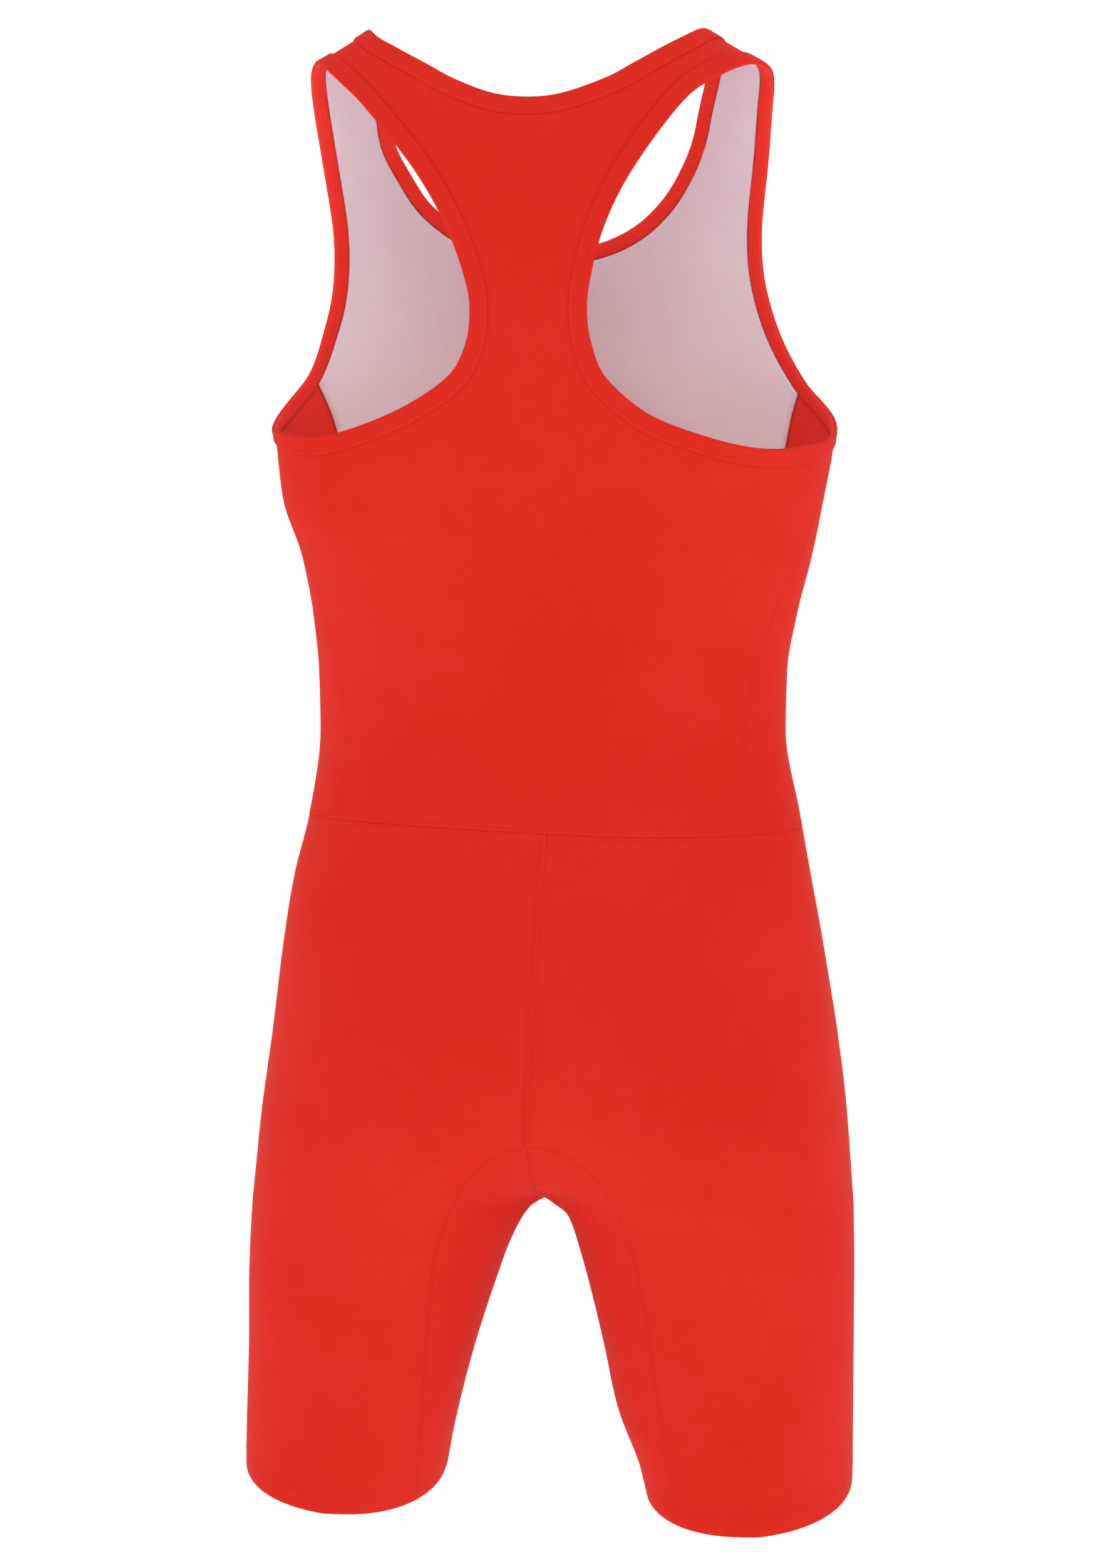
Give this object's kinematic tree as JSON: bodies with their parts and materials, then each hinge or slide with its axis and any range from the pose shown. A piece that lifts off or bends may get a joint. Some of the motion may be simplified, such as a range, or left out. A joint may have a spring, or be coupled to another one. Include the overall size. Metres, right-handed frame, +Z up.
{
  "type": "running speedsuit",
  "caption": "Sleeveless one-piece running suit with a racer back, bound neck and armholes and fitted short legs, in the hollow form it has when worn.",
  "frame": {"origin": "between the two shoulder straps, level with the middle of the shoulder seams, where the wearer's shoulders hold the suit up", "axes": "+Z up, +Y the way the wearer faces, +X towards the wearer's right"},
  "size_m": [0.3866, 0.2257, 0.9197],
  "materials": {
    "red_knit": "smooth satin knit",
    "lining_knit": "matte knit"
  },
  "bodies": {
    "root": {"back": "red_knit", "front": "red_knit", "front_lining": "lining_knit", "side_left": "red_knit", "side_right": "red_knit", "neck_binding": "red_knit", "armhole_binding_left": "red_knit", "armhole_binding_right": "red_knit", "leg_left": "red_knit", "leg_right": "red_knit", "inner_leg_left": "red_knit", "inner_leg_right": "red_knit"}
  },
  "joints": []
}
